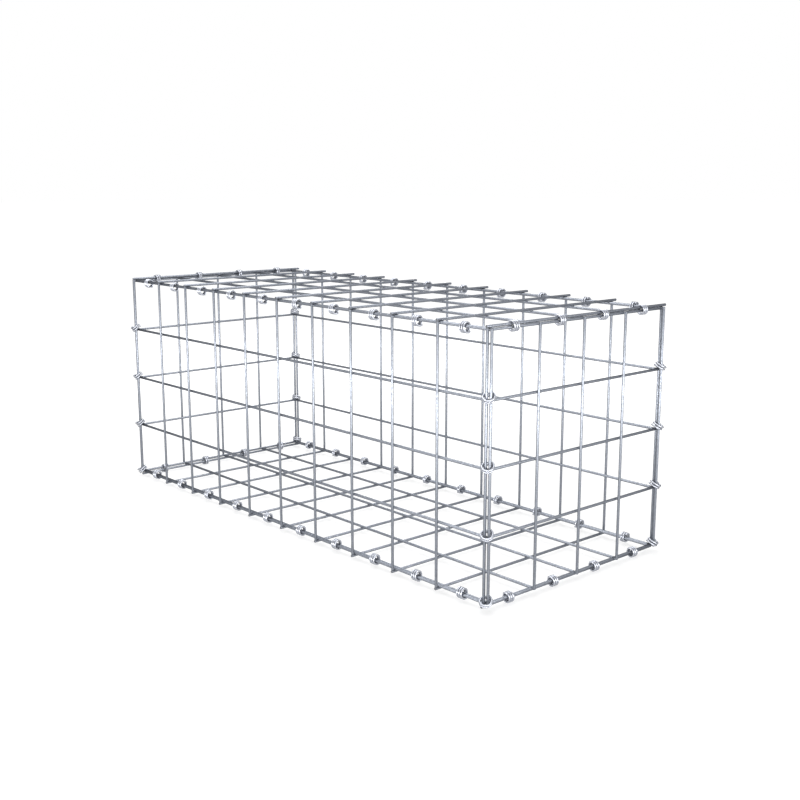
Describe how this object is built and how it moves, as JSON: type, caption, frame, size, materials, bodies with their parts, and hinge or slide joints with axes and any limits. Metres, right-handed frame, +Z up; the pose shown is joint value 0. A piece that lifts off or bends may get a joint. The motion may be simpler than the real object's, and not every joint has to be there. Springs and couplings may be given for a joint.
{
  "type": "gabion basket",
  "caption": "Empty gabion basket of welded wire mesh with a closed lid, laced along every edge with double-wound rings, to be filled with stone.",
  "frame": {"origin": "on the ground under the middle of the overall box", "axes": "+X along the length, to the right end; -Y to the front; +Z up"},
  "size_m": [1.029, 0.4246, 0.422],
  "materials": {
    "galvanised_wire": "hot-dip galvanised, satin",
    "ring_wire": "galvanised, brighter and smoother than the mesh"
  },
  "bodies": {
    "root": {"front_panel": "galvanised_wire", "back_panel": "galvanised_wire", "left_end_panel": "galvanised_wire", "right_end_panel": "galvanised_wire", "base_panel": "galvanised_wire", "lid_panel": "galvanised_wire", "front_top_rings": "ring_wire", "front_bottom_rings": "ring_wire", "back_top_rings": "ring_wire", "back_bottom_rings": "ring_wire", "left_top_rings": "ring_wire", "left_bottom_rings": "ring_wire", "right_top_rings": "ring_wire", "right_bottom_rings": "ring_wire", "front_left_corner_rings": "ring_wire", "front_right_corner_rings": "ring_wire", "back_left_corner_rings": "ring_wire", "back_right_corner_rings": "ring_wire"}
  },
  "joints": []
}
